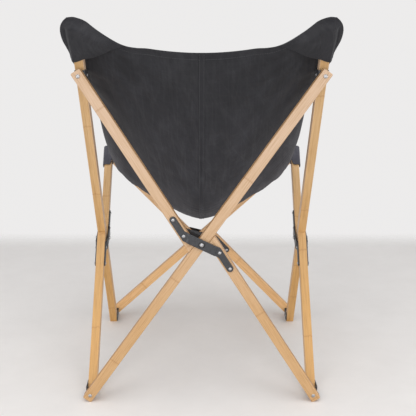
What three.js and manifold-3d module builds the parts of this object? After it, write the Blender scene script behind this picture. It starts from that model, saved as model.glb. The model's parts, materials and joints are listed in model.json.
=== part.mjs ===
// Folding sling chair: four scissor crosses of bamboo rods, joined at their ends by
// steel angle brackets, carry a canvas sling on two tall ears and two front posts.
// Millimetres, +Z up, +Y towards the front of the seat, +X to the right seen from behind.
import * as THREE from 'three';
import { mergeVertices } from 'three/addons/utils/BufferGeometryUtils.js';
import Module from 'manifold-3d';

const wasm = await Module();
wasm.setup();

// Frame: where the ends of the crosses are joined
const JOINT_HALF_WIDTH = 256;
const JOINT_DEPTH = 436;
const FOOT_JOINT_HEIGHT = 16;
const EAR_JOINT_HEIGHT = 740;
const FRONT_JOINT_HEIGHT = 480;

// Rods
const ROD_WIDTH = 22;
const ROD_THICKNESS = 20;
const ROD_EASED_EDGE = 1;
const ROD_END_ROUND = 3.5;
const ROD_FOOT = 14;
const ROD_END = 12;
const EAR_LENGTH = 115;
const POST_LENGTH = 28;

// A split rod's halves lie beside the long rod when the cross is folded
const FOLD_GAP = 1;
const HALF_OFFSET = ROD_WIDTH + FOLD_GAP;
const MITRE_GAP = 0.5;

// Gap that pieces keep where they touch
const FIT = 0.3;

// Z-shaped plates that carry the two halves past the long rod
const PLATE_THICKNESS = 2.5;
const PLATE_LEG_WIDTH = 14;
const PLATE_WAIST_WIDTH = 19;
const RIVET_NEAR = 37;
const RIVET_SPACING = 43;
const RIVET_RADIUS = 3;
const RIVET_HEAD_RADIUS = 4;
const RIVET_HEAD_HEIGHT = 2;
const PIVOT_RADIUS = 4;
const PIVOT_HEAD_RADIUS = 5.2;
const PIVOT_HEAD_HEIGHT = 2.6;

// Corner brackets and their screws
const BRACKET_THICKNESS = 2;
const BRACKET_HEIGHT = 22;
const BRACKET_EDGE = 10;
const BRACKET_BEND = 3;
const REAR_BRACKET_ROOM = 25.7;
const FRONT_BRACKET_ROOM = 31.7;
const TOP_BRACKET_ROOM = 25.2;
const TOP_BRACKET_DROP = 3;
const EAR_BRACKET_SLACK = 0.2;
const SCREW_RADIUS = 2.5;
const SCREW_HEAD_RADIUS = 4.2;
const SCREW_HEAD_HEIGHT = 2;
const SCREW_STOP = 0.5;

// Canvas
const CANVAS_THICKNESS = 3;
const SEAM_GAP = 0.3;
const POCKET_SLACK = 0.4;
const POCKET_WALL = 2;
const EAR_POCKET_DEPTH = 80;
const HEM_GAP = 1;
const POST_FOLD_TURN = THREE.MathUtils.degToRad(31);
const POCKET_ROUND = 6;
const SLING_TOP_DROP = 45;
const SLING_TOP_FORWARD = 103;
const SEAT_LOW_HEIGHT = 241;
const SEAT_LOW_DEPTH = 120;
const BACK_PULL_HEIGHT = 490;
const BACK_PULL_DEPTH = 65;
const FRONT_EDGE_DROP = 64;
const SIDE_EDGE_BACK_PULL = [110, 705];
const SIDE_EDGE_FRONT_PULL = [260, 500];
const TOP_FLATNESS = 2;
const SEAT_FLATNESS = 1.3;
const FRONT_FLATNESS = 1.5;
const EDGE_ROLL = 0.25;
const EDGE_ROLL_POWER = 14;
const CORNER_TUCK = 4;
const SLING_STEPS_ACROSS = 10;
const SLING_STEPS_ALONG = 20;

// Cross planes: the rear and front crosses run outside the ends of the side rods
const crossOffset = (room) => room + BRACKET_THICKNESS + FIT + ROD_THICKNESS / 2;
const REAR_OFFSET = crossOffset(REAR_BRACKET_ROOM);
const FRONT_OFFSET = crossOffset(FRONT_BRACKET_ROOM);
const CURVE_STEPS = 4;
const ROUND_STEPS = 8;

const bamboo = new THREE.MeshStandardMaterial({ color: 0xd9ac74, roughness: 0.5, metalness: 0 });
const blackSteel = new THREE.MeshStandardMaterial({ color: 0x2b2d30, roughness: 0.45, metalness: 0.6 });
const brightSteel = new THREE.MeshStandardMaterial({ color: 0xc4c6c8, roughness: 0.3, metalness: 1 });
const canvas = new THREE.MeshStandardMaterial({ color: 0x3a3b40, roughness: 0.95, metalness: 0 });

// Solids: closed meshes joined and cut
function toSolid(geometry) {
  const bare = geometry.clone();
  bare.deleteAttribute('normal');
  bare.deleteAttribute('uv');
  const merged = mergeVertices(bare, 1e-4);
  return new wasm.Manifold(new wasm.Mesh({
    numProp: 3,
    vertProperties: new Float32Array(merged.attributes.position.array),
    triVerts: new Uint32Array(merged.index.array),
  }));
}

function toGeometry(solid) {
  const mesh = solid.getMesh();
  const geometry = new THREE.BufferGeometry();
  geometry.setAttribute('position', new THREE.BufferAttribute(new Float32Array(mesh.vertProperties), 3));
  geometry.setIndex(new THREE.BufferAttribute(new Uint32Array(mesh.triVerts), 1));
  geometry.computeVertexNormals();
  return geometry;
}

function addMesh(parent, name, geometry, material) {
  const mesh = new THREE.Mesh(geometry, material);
  mesh.name = name;
  parent.add(mesh);
  return mesh;
}

// Plane figures
const point = (p, q) => new THREE.Vector2(p, q);
const along = (start, direction, distance) => start.clone().addScaledVector(direction, distance);

function meetingPoint(a, da, b, db) {
  const cross = da.x * db.y - da.y * db.x;
  const t = ((b.x - a.x) * db.y - (b.y - a.y) * db.x) / cross;
  return along(a, da, t);
}

// Outline through corners, each rounded by its own radius where it has one
function roundedShape(corners) {
  const shape = new THREE.Shape();
  corners.forEach((corner, i) => {
    const before = corners[(i + corners.length - 1) % corners.length].at;
    const after = corners[(i + 1) % corners.length].at;
    const radius = corner.round || 0;
    const toBefore = before.clone().sub(corner.at).normalize();
    const toAfter = after.clone().sub(corner.at).normalize();
    const start = along(corner.at, toBefore, radius);
    const end = along(corner.at, toAfter, radius);
    if (i === 0) shape.moveTo(start.x, start.y);
    else shape.lineTo(start.x, start.y);
    if (radius > 0) shape.quadraticCurveTo(corner.at.x, corner.at.y, end.x, end.y);
  });
  shape.closePath();
  return shape;
}

// Keeps the part of an outline at or above the floor
function cutBelow(corners) {
  const kept = [];
  corners.forEach((corner, i) => {
    const next = corners[(i + 1) % corners.length];
    const above = corner.at.y >= 0;
    if (above) kept.push(corner);
    if (above !== next.at.y >= 0) {
      const share = corner.at.y / (corner.at.y - next.at.y);
      kept.push({ at: corner.at.clone().lerp(next.at, share) });
    }
  });
  return kept;
}

// A hole must run the other way round from the outline it is in. Its flats keep clear of the pin.
function addHole(shape, centre, clearRadius) {
  const radius = clearRadius / Math.cos(Math.PI / (2 * CURVE_STEPS));
  const outlineIsClockwise = THREE.ShapeUtils.isClockWise(shape.getPoints());
  const hole = new THREE.Path();
  hole.absarc(centre.x, centre.y, radius, 0, Math.PI * 2, !outlineIsClockwise);
  shape.holes.push(hole);
}

// A flat piece of the given thickness, centred on its own plane, with eased edges
function slab(shape, thickness, eased = 0) {
  const geometry = new THREE.ExtrudeGeometry(shape, {
    depth: thickness - 2 * eased,
    bevelEnabled: eased > 0,
    bevelThickness: eased,
    bevelSize: eased,
    bevelOffset: -eased,
    bevelSegments: 1,
    curveSegments: CURVE_STEPS,
  });
  geometry.translate(0, 0, eased - thickness / 2);
  return geometry;
}

// A pin along +Z from one height to another, with a domed head at each end that has one
function pin(radius, from, to, headRadius, headHeight, heads) {
  const profile = [];
  if (heads.low) {
    profile.push(point(0, from - headHeight));
    profile.push(point(headRadius * 0.72, from - headHeight * 0.7));
    profile.push(point(headRadius, from));
    profile.push(point(radius, from));
  } else {
    profile.push(point(0, from));
    profile.push(point(radius, from));
  }
  if (heads.high) {
    profile.push(point(radius, to));
    profile.push(point(headRadius, to));
    profile.push(point(headRadius * 0.72, to + headHeight * 0.7));
    profile.push(point(0, to + headHeight));
  } else {
    profile.push(point(radius, to));
    profile.push(point(0, to));
  }
  const geometry = new THREE.LatheGeometry(profile, ROUND_STEPS);
  geometry.rotateX(Math.PI / 2);
  return geometry;
}

function rodHole(x, y, z, axis, clearRadius, length) {
  const radius = clearRadius / Math.cos(Math.PI / ROUND_STEPS);
  const drill = new THREE.CylinderGeometry(radius, radius, length, ROUND_STEPS);
  if (axis === 'x') drill.rotateZ(Math.PI / 2);
  drill.translate(x, y, z);
  return toSolid(drill);
}

// One scissor cross in its own plane. The long rod leans towards -p as it rises and the
// split rod towards +p: its lower half passes above the pivot and its upper half below.
class Cross {
  constructor({ longLow, longHigh, splitLow, splitHigh, longTop, splitTop }) {
    Object.assign(this, { longLow, longHigh, splitLow, splitHigh, longTop, splitTop });
    const span = splitHigh.clone().sub(splitLow);
    const rise = span.angle() + Math.asin((2 * HALF_OFFSET) / span.length());
    this.splitAxis = point(Math.cos(rise), Math.sin(rise));
    this.splitSide = point(-Math.sin(rise), Math.cos(rise));
    this.longAxis = longHigh.clone().sub(longLow).normalize();
    const middle = splitLow.clone().lerp(splitHigh, 0.5);
    this.pivot = meetingPoint(middle, this.splitAxis, longLow, this.longAxis);
    this.longSide = point(this.longAxis.y, -this.longAxis.x);
    if (splitLow.clone().sub(this.pivot).dot(this.longSide) < 0) this.longSide.negate();
    this.lowerStart = along(this.pivot, this.splitSide, HALF_OFFSET);
    this.upperStart = along(this.pivot, this.splitSide, -HALF_OFFSET);
    this.rivets = {
      lower: [RIVET_NEAR, RIVET_NEAR + RIVET_SPACING].map((s) => along(this.lowerStart, this.splitAxis, -s)),
      upper: [RIVET_NEAR, RIVET_NEAR + RIVET_SPACING].map((s) => along(this.upperStart, this.splitAxis, s)),
    };
  }

  longRod() {
    const side = this.longSide.clone().multiplyScalar(ROD_WIDTH / 2);
    const low = along(this.longLow, this.longAxis, -ROD_FOOT);
    const high = along(this.longHigh, this.longAxis, this.longTop);
    const shape = roundedShape(cutBelow([
      { at: low.clone().add(side), round: ROD_END_ROUND },
      { at: low.clone().sub(side), round: ROD_END_ROUND },
      { at: high.clone().sub(side), round: ROD_END_ROUND },
      { at: high.clone().add(side), round: ROD_END_ROUND },
    ]));
    addHole(shape, this.longLow, SCREW_RADIUS + FIT);
    addHole(shape, this.longHigh, SCREW_RADIUS + FIT);
    addHole(shape, this.pivot, PIVOT_RADIUS + FIT);
    return slab(shape, ROD_THICKNESS, ROD_EASED_EDGE);
  }

  // A half rod from its mitre beside the long rod out to its end joint
  halfRod(isLower) {
    const way = this.splitAxis.clone().multiplyScalar(isLower ? -1 : 1);
    const start = isLower ? this.lowerStart : this.upperStart;
    const joint = isLower ? this.splitLow : this.splitHigh;
    const tail = isLower ? ROD_FOOT : this.splitTop;
    const faceSide = this.longSide.clone().multiplyScalar(isLower ? 1 : -1);
    const face = along(this.pivot, faceSide, ROD_WIDTH / 2 + MITRE_GAP);
    const edges = [-1, 1].map((sign) => along(start, this.splitSide, sign * (ROD_WIDTH / 2)));
    const end = along(joint, way, tail);
    const ends = [-1, 1].map((sign) => along(end, this.splitSide, sign * (ROD_WIDTH / 2)));
    const shape = roundedShape(cutBelow([
      { at: meetingPoint(edges[0], way, face, this.longAxis) },
      { at: ends[0], round: ROD_END_ROUND },
      { at: ends[1], round: ROD_END_ROUND },
      { at: meetingPoint(edges[1], way, face, this.longAxis) },
    ]));
    addHole(shape, joint, SCREW_RADIUS + FIT);
    const rivets = isLower ? this.rivets.lower : this.rivets.upper;
    rivets.forEach((centre) => addHole(shape, centre, RIVET_RADIUS + FIT));
    return slab(shape, ROD_THICKNESS, ROD_EASED_EDGE);
  }

  plateShape() {
    const spine = [this.rivets.lower[1], this.rivets.lower[0], this.rivets.upper[0], this.rivets.upper[1]];
    const halfWidths = [PLATE_LEG_WIDTH / 2, PLATE_WAIST_WIDTH / 2, PLATE_LEG_WIDTH / 2];
    const ways = halfWidths.map((_, i) => spine[i + 1].clone().sub(spine[i]).normalize());
    const offset = (i, sign) => along(spine[i], point(-ways[i].y, ways[i].x), sign * halfWidths[i]);
    const bends = (sign) => [1, 2].map((i) => meetingPoint(offset(i - 1, sign), ways[i - 1], offset(i, sign), ways[i]));
    const legAngle = this.splitAxis.angle();
    const shape = new THREE.Shape();
    const [leftNear, leftFar] = bends(1);
    const [rightNear, rightFar] = bends(-1);
    shape.moveTo(leftNear.x, leftNear.y);
    shape.lineTo(leftFar.x, leftFar.y);
    shape.absarc(spine[3].x, spine[3].y, halfWidths[2], legAngle + Math.PI / 2, legAngle - Math.PI / 2, true);
    shape.lineTo(rightFar.x, rightFar.y);
    shape.lineTo(rightNear.x, rightNear.y);
    shape.absarc(spine[0].x, spine[0].y, halfWidths[0], legAngle - Math.PI / 2, legAngle - 1.5 * Math.PI, true);
    shape.closePath();
    return shape;
  }

  // The rivets are one piece with the outer plate and pass through the inner one
  plate(isOuter, outerSign) {
    const shape = this.plateShape();
    addHole(shape, this.pivot, PIVOT_RADIUS + FIT);
    const all = [...this.rivets.lower, ...this.rivets.upper];
    if (!isOuter) all.forEach((centre) => addHole(shape, centre, RIVET_RADIUS + FIT));
    const geometry = slab(shape, PLATE_THICKNESS);
    const seat = ROD_THICKNESS / 2 + FIT + PLATE_THICKNESS / 2;
    geometry.translate(0, 0, (isOuter ? 1 : -1) * outerSign * seat);
    if (!isOuter) return geometry;
    const outside = seat + PLATE_THICKNESS / 2;
    let solid = toSolid(geometry);
    all.forEach((centre) => {
      const rivet = pin(RIVET_RADIUS, -outside - FIT, outside, RIVET_HEAD_RADIUS, RIVET_HEAD_HEIGHT, { low: true, high: true });
      if (outerSign < 0) rivet.rotateX(Math.PI);
      rivet.translate(centre.x, centre.y, 0);
      solid = solid.add(toSolid(rivet));
    });
    return toGeometry(solid);
  }

  pivotRivet() {
    const reach = ROD_THICKNESS / 2 + FIT + PLATE_THICKNESS + FIT;
    const rivet = pin(PIVOT_RADIUS, -reach, reach, PIVOT_HEAD_RADIUS, PIVOT_HEAD_HEIGHT, { low: true, high: true });
    rivet.translate(this.pivot.x, this.pivot.y, 0);
    return rivet;
  }

  addTo(group, name, outerSign) {
    addMesh(group, `${name}_long_rod`, this.longRod(), bamboo);
    addMesh(group, `${name}_upper_half_rod`, this.halfRod(false), bamboo);
    addMesh(group, `${name}_lower_half_rod`, this.halfRod(true), bamboo);
    addMesh(group, `${name}_outer_plate`, this.plate(true, outerSign), blackSteel);
    addMesh(group, `${name}_inner_plate`, this.plate(false, outerSign), blackSteel);
    addMesh(group, `${name}_pivot_rivet`, this.pivotRivet(), brightSteel);
  }
}

// A group whose own plane (p, q) stands upright: p runs along the given direction, q along +Z
function uprightGroup(pDirection, position) {
  const group = new THREE.Group();
  const q = new THREE.Vector3(0, 0, 1);
  const r = new THREE.Vector3().crossVectors(pDirection, q);
  group.quaternion.setFromRotationMatrix(new THREE.Matrix4().makeBasis(pDirection, q, r));
  group.position.copy(position);
  return group;
}

// Rear and front crosses: p runs towards -X
function wideCross(topHeight) {
  return new Cross({
    longLow: point(JOINT_HALF_WIDTH, FOOT_JOINT_HEIGHT),
    longHigh: point(-JOINT_HALF_WIDTH, topHeight),
    splitLow: point(-JOINT_HALF_WIDTH, FOOT_JOINT_HEIGHT),
    splitHigh: point(JOINT_HALF_WIDTH, topHeight),
    longTop: ROD_END,
    splitTop: ROD_END,
  });
}

// Side crosses: p runs towards +Y, the long rod rises to the ear and the split rod to the front post
function sideCross() {
  return new Cross({
    longLow: point(JOINT_DEPTH, FOOT_JOINT_HEIGHT),
    longHigh: point(0, EAR_JOINT_HEIGHT),
    splitLow: point(0, FOOT_JOINT_HEIGHT),
    splitHigh: point(JOINT_DEPTH, FRONT_JOINT_HEIGHT),
    longTop: EAR_LENGTH,
    splitTop: POST_LENGTH,
  });
}

// Corner: an angle bracket between a face of a side rod and the face of a cross rod, with one
// screw through each. Where the cross rod's pivot is open its screw ends inside the rod.
function addCorner(chair, name, { side, end, y, z, face, offset, room, drop, crossHolds }) {
  const x = side * JOINT_HALF_WIDTH;
  const rodFace = ROD_THICKNESS / 2;
  const near = rodFace + FIT;
  const far = near + BRACKET_THICKNESS;
  const seat = room + BRACKET_THICKNESS;
  const place = (u, v) => point(x - side * face * u, y + end * v);
  const outline = roundedShape([
    { at: place(near, -BRACKET_EDGE) },
    { at: place(far, -BRACKET_EDGE) },
    { at: place(far, seat), round: BRACKET_BEND },
    { at: place(-BRACKET_EDGE, seat) },
    { at: place(-BRACKET_EDGE, room) },
    { at: place(near, room), round: BRACKET_BEND - BRACKET_THICKNESS },
  ]);
  const angle = slab(outline, BRACKET_HEIGHT);
  angle.translate(0, 0, z - drop);
  const reach = 3 * BRACKET_THICKNESS;
  const sideHole = rodHole(x - side * face * near, y, z, 'x', SCREW_RADIUS + FIT, reach);
  const crossHole = rodHole(x, y + end * seat, z, 'y', SCREW_RADIUS + FIT, reach);
  const solid = toSolid(angle).subtract(sideHole).subtract(crossHole);
  addMesh(chair, `${name}_bracket`, toGeometry(solid), blackSteel);

  const flangeIsInside = face > 0;
  const inner = flangeIsInside ? far + FIT : near;
  const outer = flangeIsInside ? near : far + FIT;
  const sideScrew = pin(SCREW_RADIUS, -inner, outer, SCREW_HEAD_RADIUS, SCREW_HEAD_HEIGHT, { low: true, high: true });
  sideScrew.rotateY((side * Math.PI) / 2);
  sideScrew.translate(x, y, z);
  addMesh(chair, `${name}_side_screw`, sideScrew, brightSteel);

  const crossInner = crossHolds ? room - FIT : offset - rodFace + SCREW_STOP;
  const crossOuter = offset + near;
  const crossScrew = pin(SCREW_RADIUS, crossInner, crossOuter, SCREW_HEAD_RADIUS, SCREW_HEAD_HEIGHT,
    { low: crossHolds, high: true });
  crossScrew.rotateX((-end * Math.PI) / 2);
  crossScrew.translate(x, y, z);
  addMesh(chair, `${name}_cross_screw`, crossScrew, brightSteel);
}

// A canvas pocket pulled over a rod's end, closed at the top and open below, its hem square to the rod
function pocket(tip, axis, depth) {
  const side = point(-axis.y, axis.x);
  const sleeve = (grow, reach, round) => {
    const half = ROD_WIDTH / 2 + grow;
    const top = along(tip, axis, grow);
    const bottom = along(tip, axis, -reach);
    return toSolid(slab(roundedShape([
      { at: along(bottom, side, half) },
      { at: along(bottom, side, -half) },
      { at: along(top, side, -half), round },
      { at: along(top, side, half), round },
    ]), ROD_THICKNESS + 2 * grow));
  };
  const outer = sleeve(POCKET_SLACK + POCKET_WALL, depth, POCKET_ROUND);
  const hollow = sleeve(POCKET_SLACK, 2 * depth, ROD_END_ROUND);
  return outer.subtract(hollow);
}

// A front pocket's hem is cut level above the bracket, and once more as the bracket lies to the
// post when the chair is folded
function trimHem(solid, joint) {
  const lift = BRACKET_HEIGHT / 2 - TOP_BRACKET_DROP + HEM_GAP;
  return [0, POST_FOLD_TURN].reduce((kept, turn) => {
    const up = point(Math.sin(turn), Math.cos(turn));
    return kept.trimByPlane([up.x, up.y, 0], joint.dot(up) + lift);
  }, solid);
}

// Sling: every cross section hangs from its two side edges, which run from ear to front post
class Sling {
  constructor(cross) {
    this.ear = along(cross.longHigh, cross.longAxis, EAR_LENGTH - ROD_END);
    this.post = along(cross.splitHigh, cross.splitAxis, POST_LENGTH - ROD_END);
    const pull = (pair) => point(pair[0], pair[1]);
    this.edge = new THREE.CubicBezierCurve(this.ear, pull(SIDE_EDGE_BACK_PULL), pull(SIDE_EDGE_FRONT_PULL), this.post);
    this.middle = new THREE.CubicBezierCurve(
      point(this.ear.x + SLING_TOP_FORWARD, this.ear.y - SLING_TOP_DROP),
      point(BACK_PULL_DEPTH, BACK_PULL_HEIGHT),
      point(SEAT_LOW_DEPTH, SEAT_LOW_HEIGHT),
      point(this.post.x, this.post.y - FRONT_EDGE_DROP),
    );
    const pocketFace = ROD_THICKNESS / 2 + POCKET_SLACK + POCKET_WALL;
    this.halfWidth = JOINT_HALF_WIDTH - pocketFace - FIT - CANVAS_THICKNESS / 4;
  }

  // u runs from the middle seam, 0, to the side edge, 1; v from the back's top edge to the seat's front
  at(u, v, side) {
    const edge = this.edge.getPoint(v);
    const middle = this.middle.getPoint(v);
    const { smoothstep, lerp } = THREE.MathUtils;
    const seat = lerp(TOP_FLATNESS, SEAT_FLATNESS, smoothstep(v, 0, 0.6));
    const power = lerp(seat, FRONT_FLATNESS, smoothstep(v, 0.6, 1));
    const roll = EDGE_ROLL * smoothstep(v, 0.35, 0.75);
    const hang = lerp(Math.pow(u, power), Math.pow(u, EDGE_ROLL_POWER), roll);
    const tuck = CORNER_TUCK * smoothstep(v, 0.6, 0.85) * (1 - smoothstep(v, 0.93, 1));
    const x = SEAM_GAP / 2 + u * (this.halfWidth - SEAM_GAP / 2 - tuck);
    return new THREE.Vector3(side * x, middle.x + (edge.x - middle.x) * hang, middle.y + (edge.y - middle.y) * hang);
  }

  normalAt(u, v, side) {
    const step = 0.01;
    const across = this.at(Math.min(u + step, 1), v, side).sub(this.at(Math.max(u - step, 0), v, side));
    const down = this.at(u, Math.min(v + step, 1), side).sub(this.at(u, Math.max(v - step, 0), side));
    const normal = across.cross(down).multiplyScalar(side).normalize();
    if (u === 0) normal.setX(0).normalize();
    return normal;
  }

  // One half of the sling as a closed sheet: a front and a back skin joined round the rim
  panel(side) {
    const columns = SLING_STEPS_ACROSS + 1;
    const rows = SLING_STEPS_ALONG + 1;
    const positions = [];
    [1, -1].forEach((skin) => {
      for (let j = 0; j < rows; j += 1) {
        for (let i = 0; i < columns; i += 1) {
          const u = i / SLING_STEPS_ACROSS;
          const v = j / SLING_STEPS_ALONG;
          const spot = this.at(u, v, side);
          spot.addScaledVector(this.normalAt(u, v, side), (skin * CANVAS_THICKNESS) / 2);
          positions.push(spot.x, spot.y, spot.z);
        }
      }
    });
    const faces = [];
    const skinSize = columns * rows;
    const quad = (a, b, c, d) => {
      if (side > 0) faces.push(a, b, c, a, c, d);
      else faces.push(a, c, b, a, d, c);
    };
    const node = (i, j, skin) => skin * skinSize + j * columns + i;
    for (let j = 0; j < rows - 1; j += 1) {
      for (let i = 0; i < columns - 1; i += 1) {
        quad(node(i, j, 0), node(i + 1, j, 0), node(i + 1, j + 1, 0), node(i, j + 1, 0));
        quad(node(i, j, 1), node(i, j + 1, 1), node(i + 1, j + 1, 1), node(i + 1, j, 1));
      }
    }
    for (let i = 0; i < columns - 1; i += 1) {
      quad(node(i, 0, 1), node(i + 1, 0, 1), node(i + 1, 0, 0), node(i, 0, 0));
      quad(node(i, rows - 1, 0), node(i + 1, rows - 1, 0), node(i + 1, rows - 1, 1), node(i, rows - 1, 1));
    }
    for (let j = 0; j < rows - 1; j += 1) {
      quad(node(0, j, 0), node(0, j + 1, 0), node(0, j + 1, 1), node(0, j, 1));
      quad(node(columns - 1, j, 1), node(columns - 1, j + 1, 1), node(columns - 1, j + 1, 0), node(columns - 1, j, 0));
    }
    const geometry = new THREE.BufferGeometry();
    geometry.setAttribute('position', new THREE.Float32BufferAttribute(positions, 3));
    geometry.setIndex(faces);
    geometry.computeVertexNormals();
    return geometry;
  }
}

// Assembly
const chair = new THREE.Group();
const backwards = new THREE.Vector3(-1, 0, 0);
const forwards = new THREE.Vector3(0, 1, 0);

const rearGroup = uprightGroup(backwards, new THREE.Vector3(0, -REAR_OFFSET, 0));
wideCross(EAR_JOINT_HEIGHT).addTo(rearGroup, 'rear', -1);
const frontGroup = uprightGroup(backwards, new THREE.Vector3(0, JOINT_DEPTH + FRONT_OFFSET, 0));
wideCross(FRONT_JOINT_HEIGHT).addTo(frontGroup, 'front', 1);
chair.add(rearGroup, frontGroup);

const sling = new Sling(sideCross());
[['left', -1], ['right', 1]].forEach(([name, side]) => {
  const group = uprightGroup(forwards, new THREE.Vector3(side * JOINT_HALF_WIDTH, 0, 0));
  const cross = sideCross();
  cross.addTo(group, name, side);
  const earTip = along(cross.longHigh, cross.longAxis, EAR_LENGTH);
  const postTip = along(cross.splitHigh, cross.splitAxis, POST_LENGTH);
  const earPocket = pocket(earTip, cross.longAxis, EAR_POCKET_DEPTH);
  const postPocket = trimHem(pocket(postTip, cross.splitAxis, POST_LENGTH), cross.splitHigh);
  addMesh(group, `${name}_ear_pocket`, toGeometry(earPocket), canvas);
  addMesh(group, `${name}_front_pocket`, toGeometry(postPocket), canvas);
  chair.add(group);

  const rear = { side, end: -1, y: 0, offset: REAR_OFFSET, drop: 0 };
  const front = { side, end: 1, y: JOINT_DEPTH, offset: FRONT_OFFSET, face: 1 };
  addCorner(chair, `rear_${name}_foot`, {
    ...rear, z: FOOT_JOINT_HEIGHT, face: -1, room: REAR_BRACKET_ROOM, crossHolds: true,
  });
  addCorner(chair, `rear_${name}_ear`, {
    ...rear, z: EAR_JOINT_HEIGHT, face: 1, room: REAR_BRACKET_ROOM - EAR_BRACKET_SLACK, crossHolds: false,
  });
  addCorner(chair, `front_${name}_foot`, {
    ...front, z: FOOT_JOINT_HEIGHT, drop: 0, room: FRONT_BRACKET_ROOM, crossHolds: side < 0,
  });
  addCorner(chair, `front_${name}_top`, {
    ...front, z: FRONT_JOINT_HEIGHT, drop: TOP_BRACKET_DROP, room: TOP_BRACKET_ROOM, crossHolds: false,
  });
  addMesh(chair, `sling_${name}_panel`, sling.panel(side), canvas);
});

// The origin is on the floor under the middle of the chair's box
const box = new THREE.Box3().setFromObject(chair, true);
chair.position.y = -(box.min.y + box.max.y) / 2;
chair.updateMatrixWorld(true);

export default chair;
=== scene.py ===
"""Looks of a folding sling chair: bamboo crosses, black steel plates and a charcoal canvas sling.

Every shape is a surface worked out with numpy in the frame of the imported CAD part, in metres:
+Z up, +Y towards the front of the seat, +X to the right as seen from behind.
"""

import json
import math

import bmesh
import bpy
import numpy as np
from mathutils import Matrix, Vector


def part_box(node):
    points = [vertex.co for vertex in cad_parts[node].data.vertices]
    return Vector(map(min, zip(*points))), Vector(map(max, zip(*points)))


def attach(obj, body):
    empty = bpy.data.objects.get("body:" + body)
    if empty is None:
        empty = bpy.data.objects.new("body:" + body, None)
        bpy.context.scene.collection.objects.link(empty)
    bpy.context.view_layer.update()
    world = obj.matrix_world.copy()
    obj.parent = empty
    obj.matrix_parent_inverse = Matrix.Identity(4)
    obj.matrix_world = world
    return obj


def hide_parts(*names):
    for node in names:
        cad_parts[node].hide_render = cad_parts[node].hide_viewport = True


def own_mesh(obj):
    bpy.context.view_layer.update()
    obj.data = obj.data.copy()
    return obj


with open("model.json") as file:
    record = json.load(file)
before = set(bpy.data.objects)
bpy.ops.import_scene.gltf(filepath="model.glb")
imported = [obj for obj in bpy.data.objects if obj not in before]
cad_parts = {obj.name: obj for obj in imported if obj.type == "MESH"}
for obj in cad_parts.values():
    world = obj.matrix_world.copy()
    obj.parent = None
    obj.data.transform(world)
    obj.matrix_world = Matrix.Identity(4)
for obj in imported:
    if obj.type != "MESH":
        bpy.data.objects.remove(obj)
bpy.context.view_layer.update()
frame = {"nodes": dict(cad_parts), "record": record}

SIDES = {"left": -1, "right": 1}
X, Y, Z = np.eye(3)

# Joints of the frame, with y counted from the ear joints
HALF_WIDTH = 0.256
DEPTH = 0.436
FOOT_HEIGHT = 0.016
EAR_HEIGHT = 0.740
FRONT_HEIGHT = 0.480
REAR_PLANE = -0.038
FRONT_PLANE = 0.480
ROD_THICKNESS = 0.020
HALF_OFFSET = 0.023

# The row's origin is under the middle of the chair's box, so y is moved by this much
pivot_low, pivot_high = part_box("rear_pivot_rivet")
SHIFT = (pivot_low.y + pivot_high.y) / 2 - REAR_PLANE


def unit(v):
    """Vectors divided by their lengths."""
    v = np.asarray(v, float)
    return v / np.linalg.norm(v, axis=-1, keepdims=True)


def ramp(x, low, high):
    """Smooth step from 0 at low to 1 at high."""
    t = np.clip((np.asarray(x, float) - low) / (high - low), 0, 1)
    return t * t * (3 - 2 * t)


def window(x, low, full, fading, gone):
    """Rises from 0 at low to 1 at full, and falls back from fading to gone."""
    return ramp(x, low, full) * (1 - ramp(x, fading, gone))


def bezier(points, t):
    """Cubic curve through the first and last of four points, pulled by the two between."""
    p = np.asarray(points, float)
    t = np.asarray(t, float)[..., None]
    s = 1 - t
    return s**3 * p[0] + 3 * s**2 * t * p[1] + 3 * s * t**2 * p[2] + t**3 * p[3]


def meeting(p, way, q, other):
    """Where the line from p along way meets the line from q along other, in a plane."""
    return p + way * np.linalg.solve(np.stack([way, -other], axis=1), q - p)[0]


class Cross:
    """One scissor cross in its own plane: a long rod and a split rod whose halves are set off sideways."""

    def __init__(self, long_low, long_high, split_low, split_high):
        self.long_low, self.long_high = np.array(long_low), np.array(long_high)
        self.split_low, self.split_high = np.array(split_low), np.array(split_high)
        span = self.split_high - self.split_low
        rise = math.atan2(span[1], span[0]) + math.asin(2 * HALF_OFFSET / np.linalg.norm(span))
        self.split_axis = np.array([math.cos(rise), math.sin(rise)])
        self.split_side = np.array([-math.sin(rise), math.cos(rise)])
        self.long_axis = unit(self.long_high - self.long_low)
        middle = (self.split_low + self.split_high) / 2
        self.pivot = meeting(middle, self.split_axis, self.long_low, self.long_axis)

    def spot(self, along, aside):
        """A point given along and across the split rod, from the pivot."""
        return self.pivot + along * self.split_axis + aside * self.split_side


def wide_cross(top):
    """The rear or front cross, which reaches up to a height of top."""
    long_ends = (HALF_WIDTH, FOOT_HEIGHT), (-HALF_WIDTH, top)
    split_ends = (-HALF_WIDTH, FOOT_HEIGHT), (HALF_WIDTH, top)
    return Cross(*long_ends, *split_ends)


REAR, FRONT = wide_cross(EAR_HEIGHT), wide_cross(FRONT_HEIGHT)
SIDE = Cross((DEPTH, FOOT_HEIGHT), (0, EAR_HEIGHT), (0, FOOT_HEIGHT), (DEPTH, FRONT_HEIGHT))

# Each cross: its figure, how its plane stands in the row, and which way its outer face looks
PLANES = {
    "rear": (REAR, np.array([0, REAR_PLANE + SHIFT, 0]), -X, -Y),
    "front": (FRONT, np.array([0, FRONT_PLANE + SHIFT, 0]), -X, Y),
    "left": (SIDE, np.array([-HALF_WIDTH, SHIFT, 0]), Y, -X),
    "right": (SIDE, np.array([HALF_WIDTH, SHIFT, 0]), Y, X),
}


def stand(name, figure):
    """Points of a cross's plane, set upright in the row."""
    _, origin, across, _ = PLANES[name]
    return origin + figure[..., :1] * across + figure[..., 1:2] * Z


# Meshes
MERGE_DISTANCE = 1e-7


def add_object(name, data):
    """A new object in the scene."""
    item = bpy.data.objects.new(name, data)
    bpy.context.scene.collection.objects.link(item)
    return item


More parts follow.
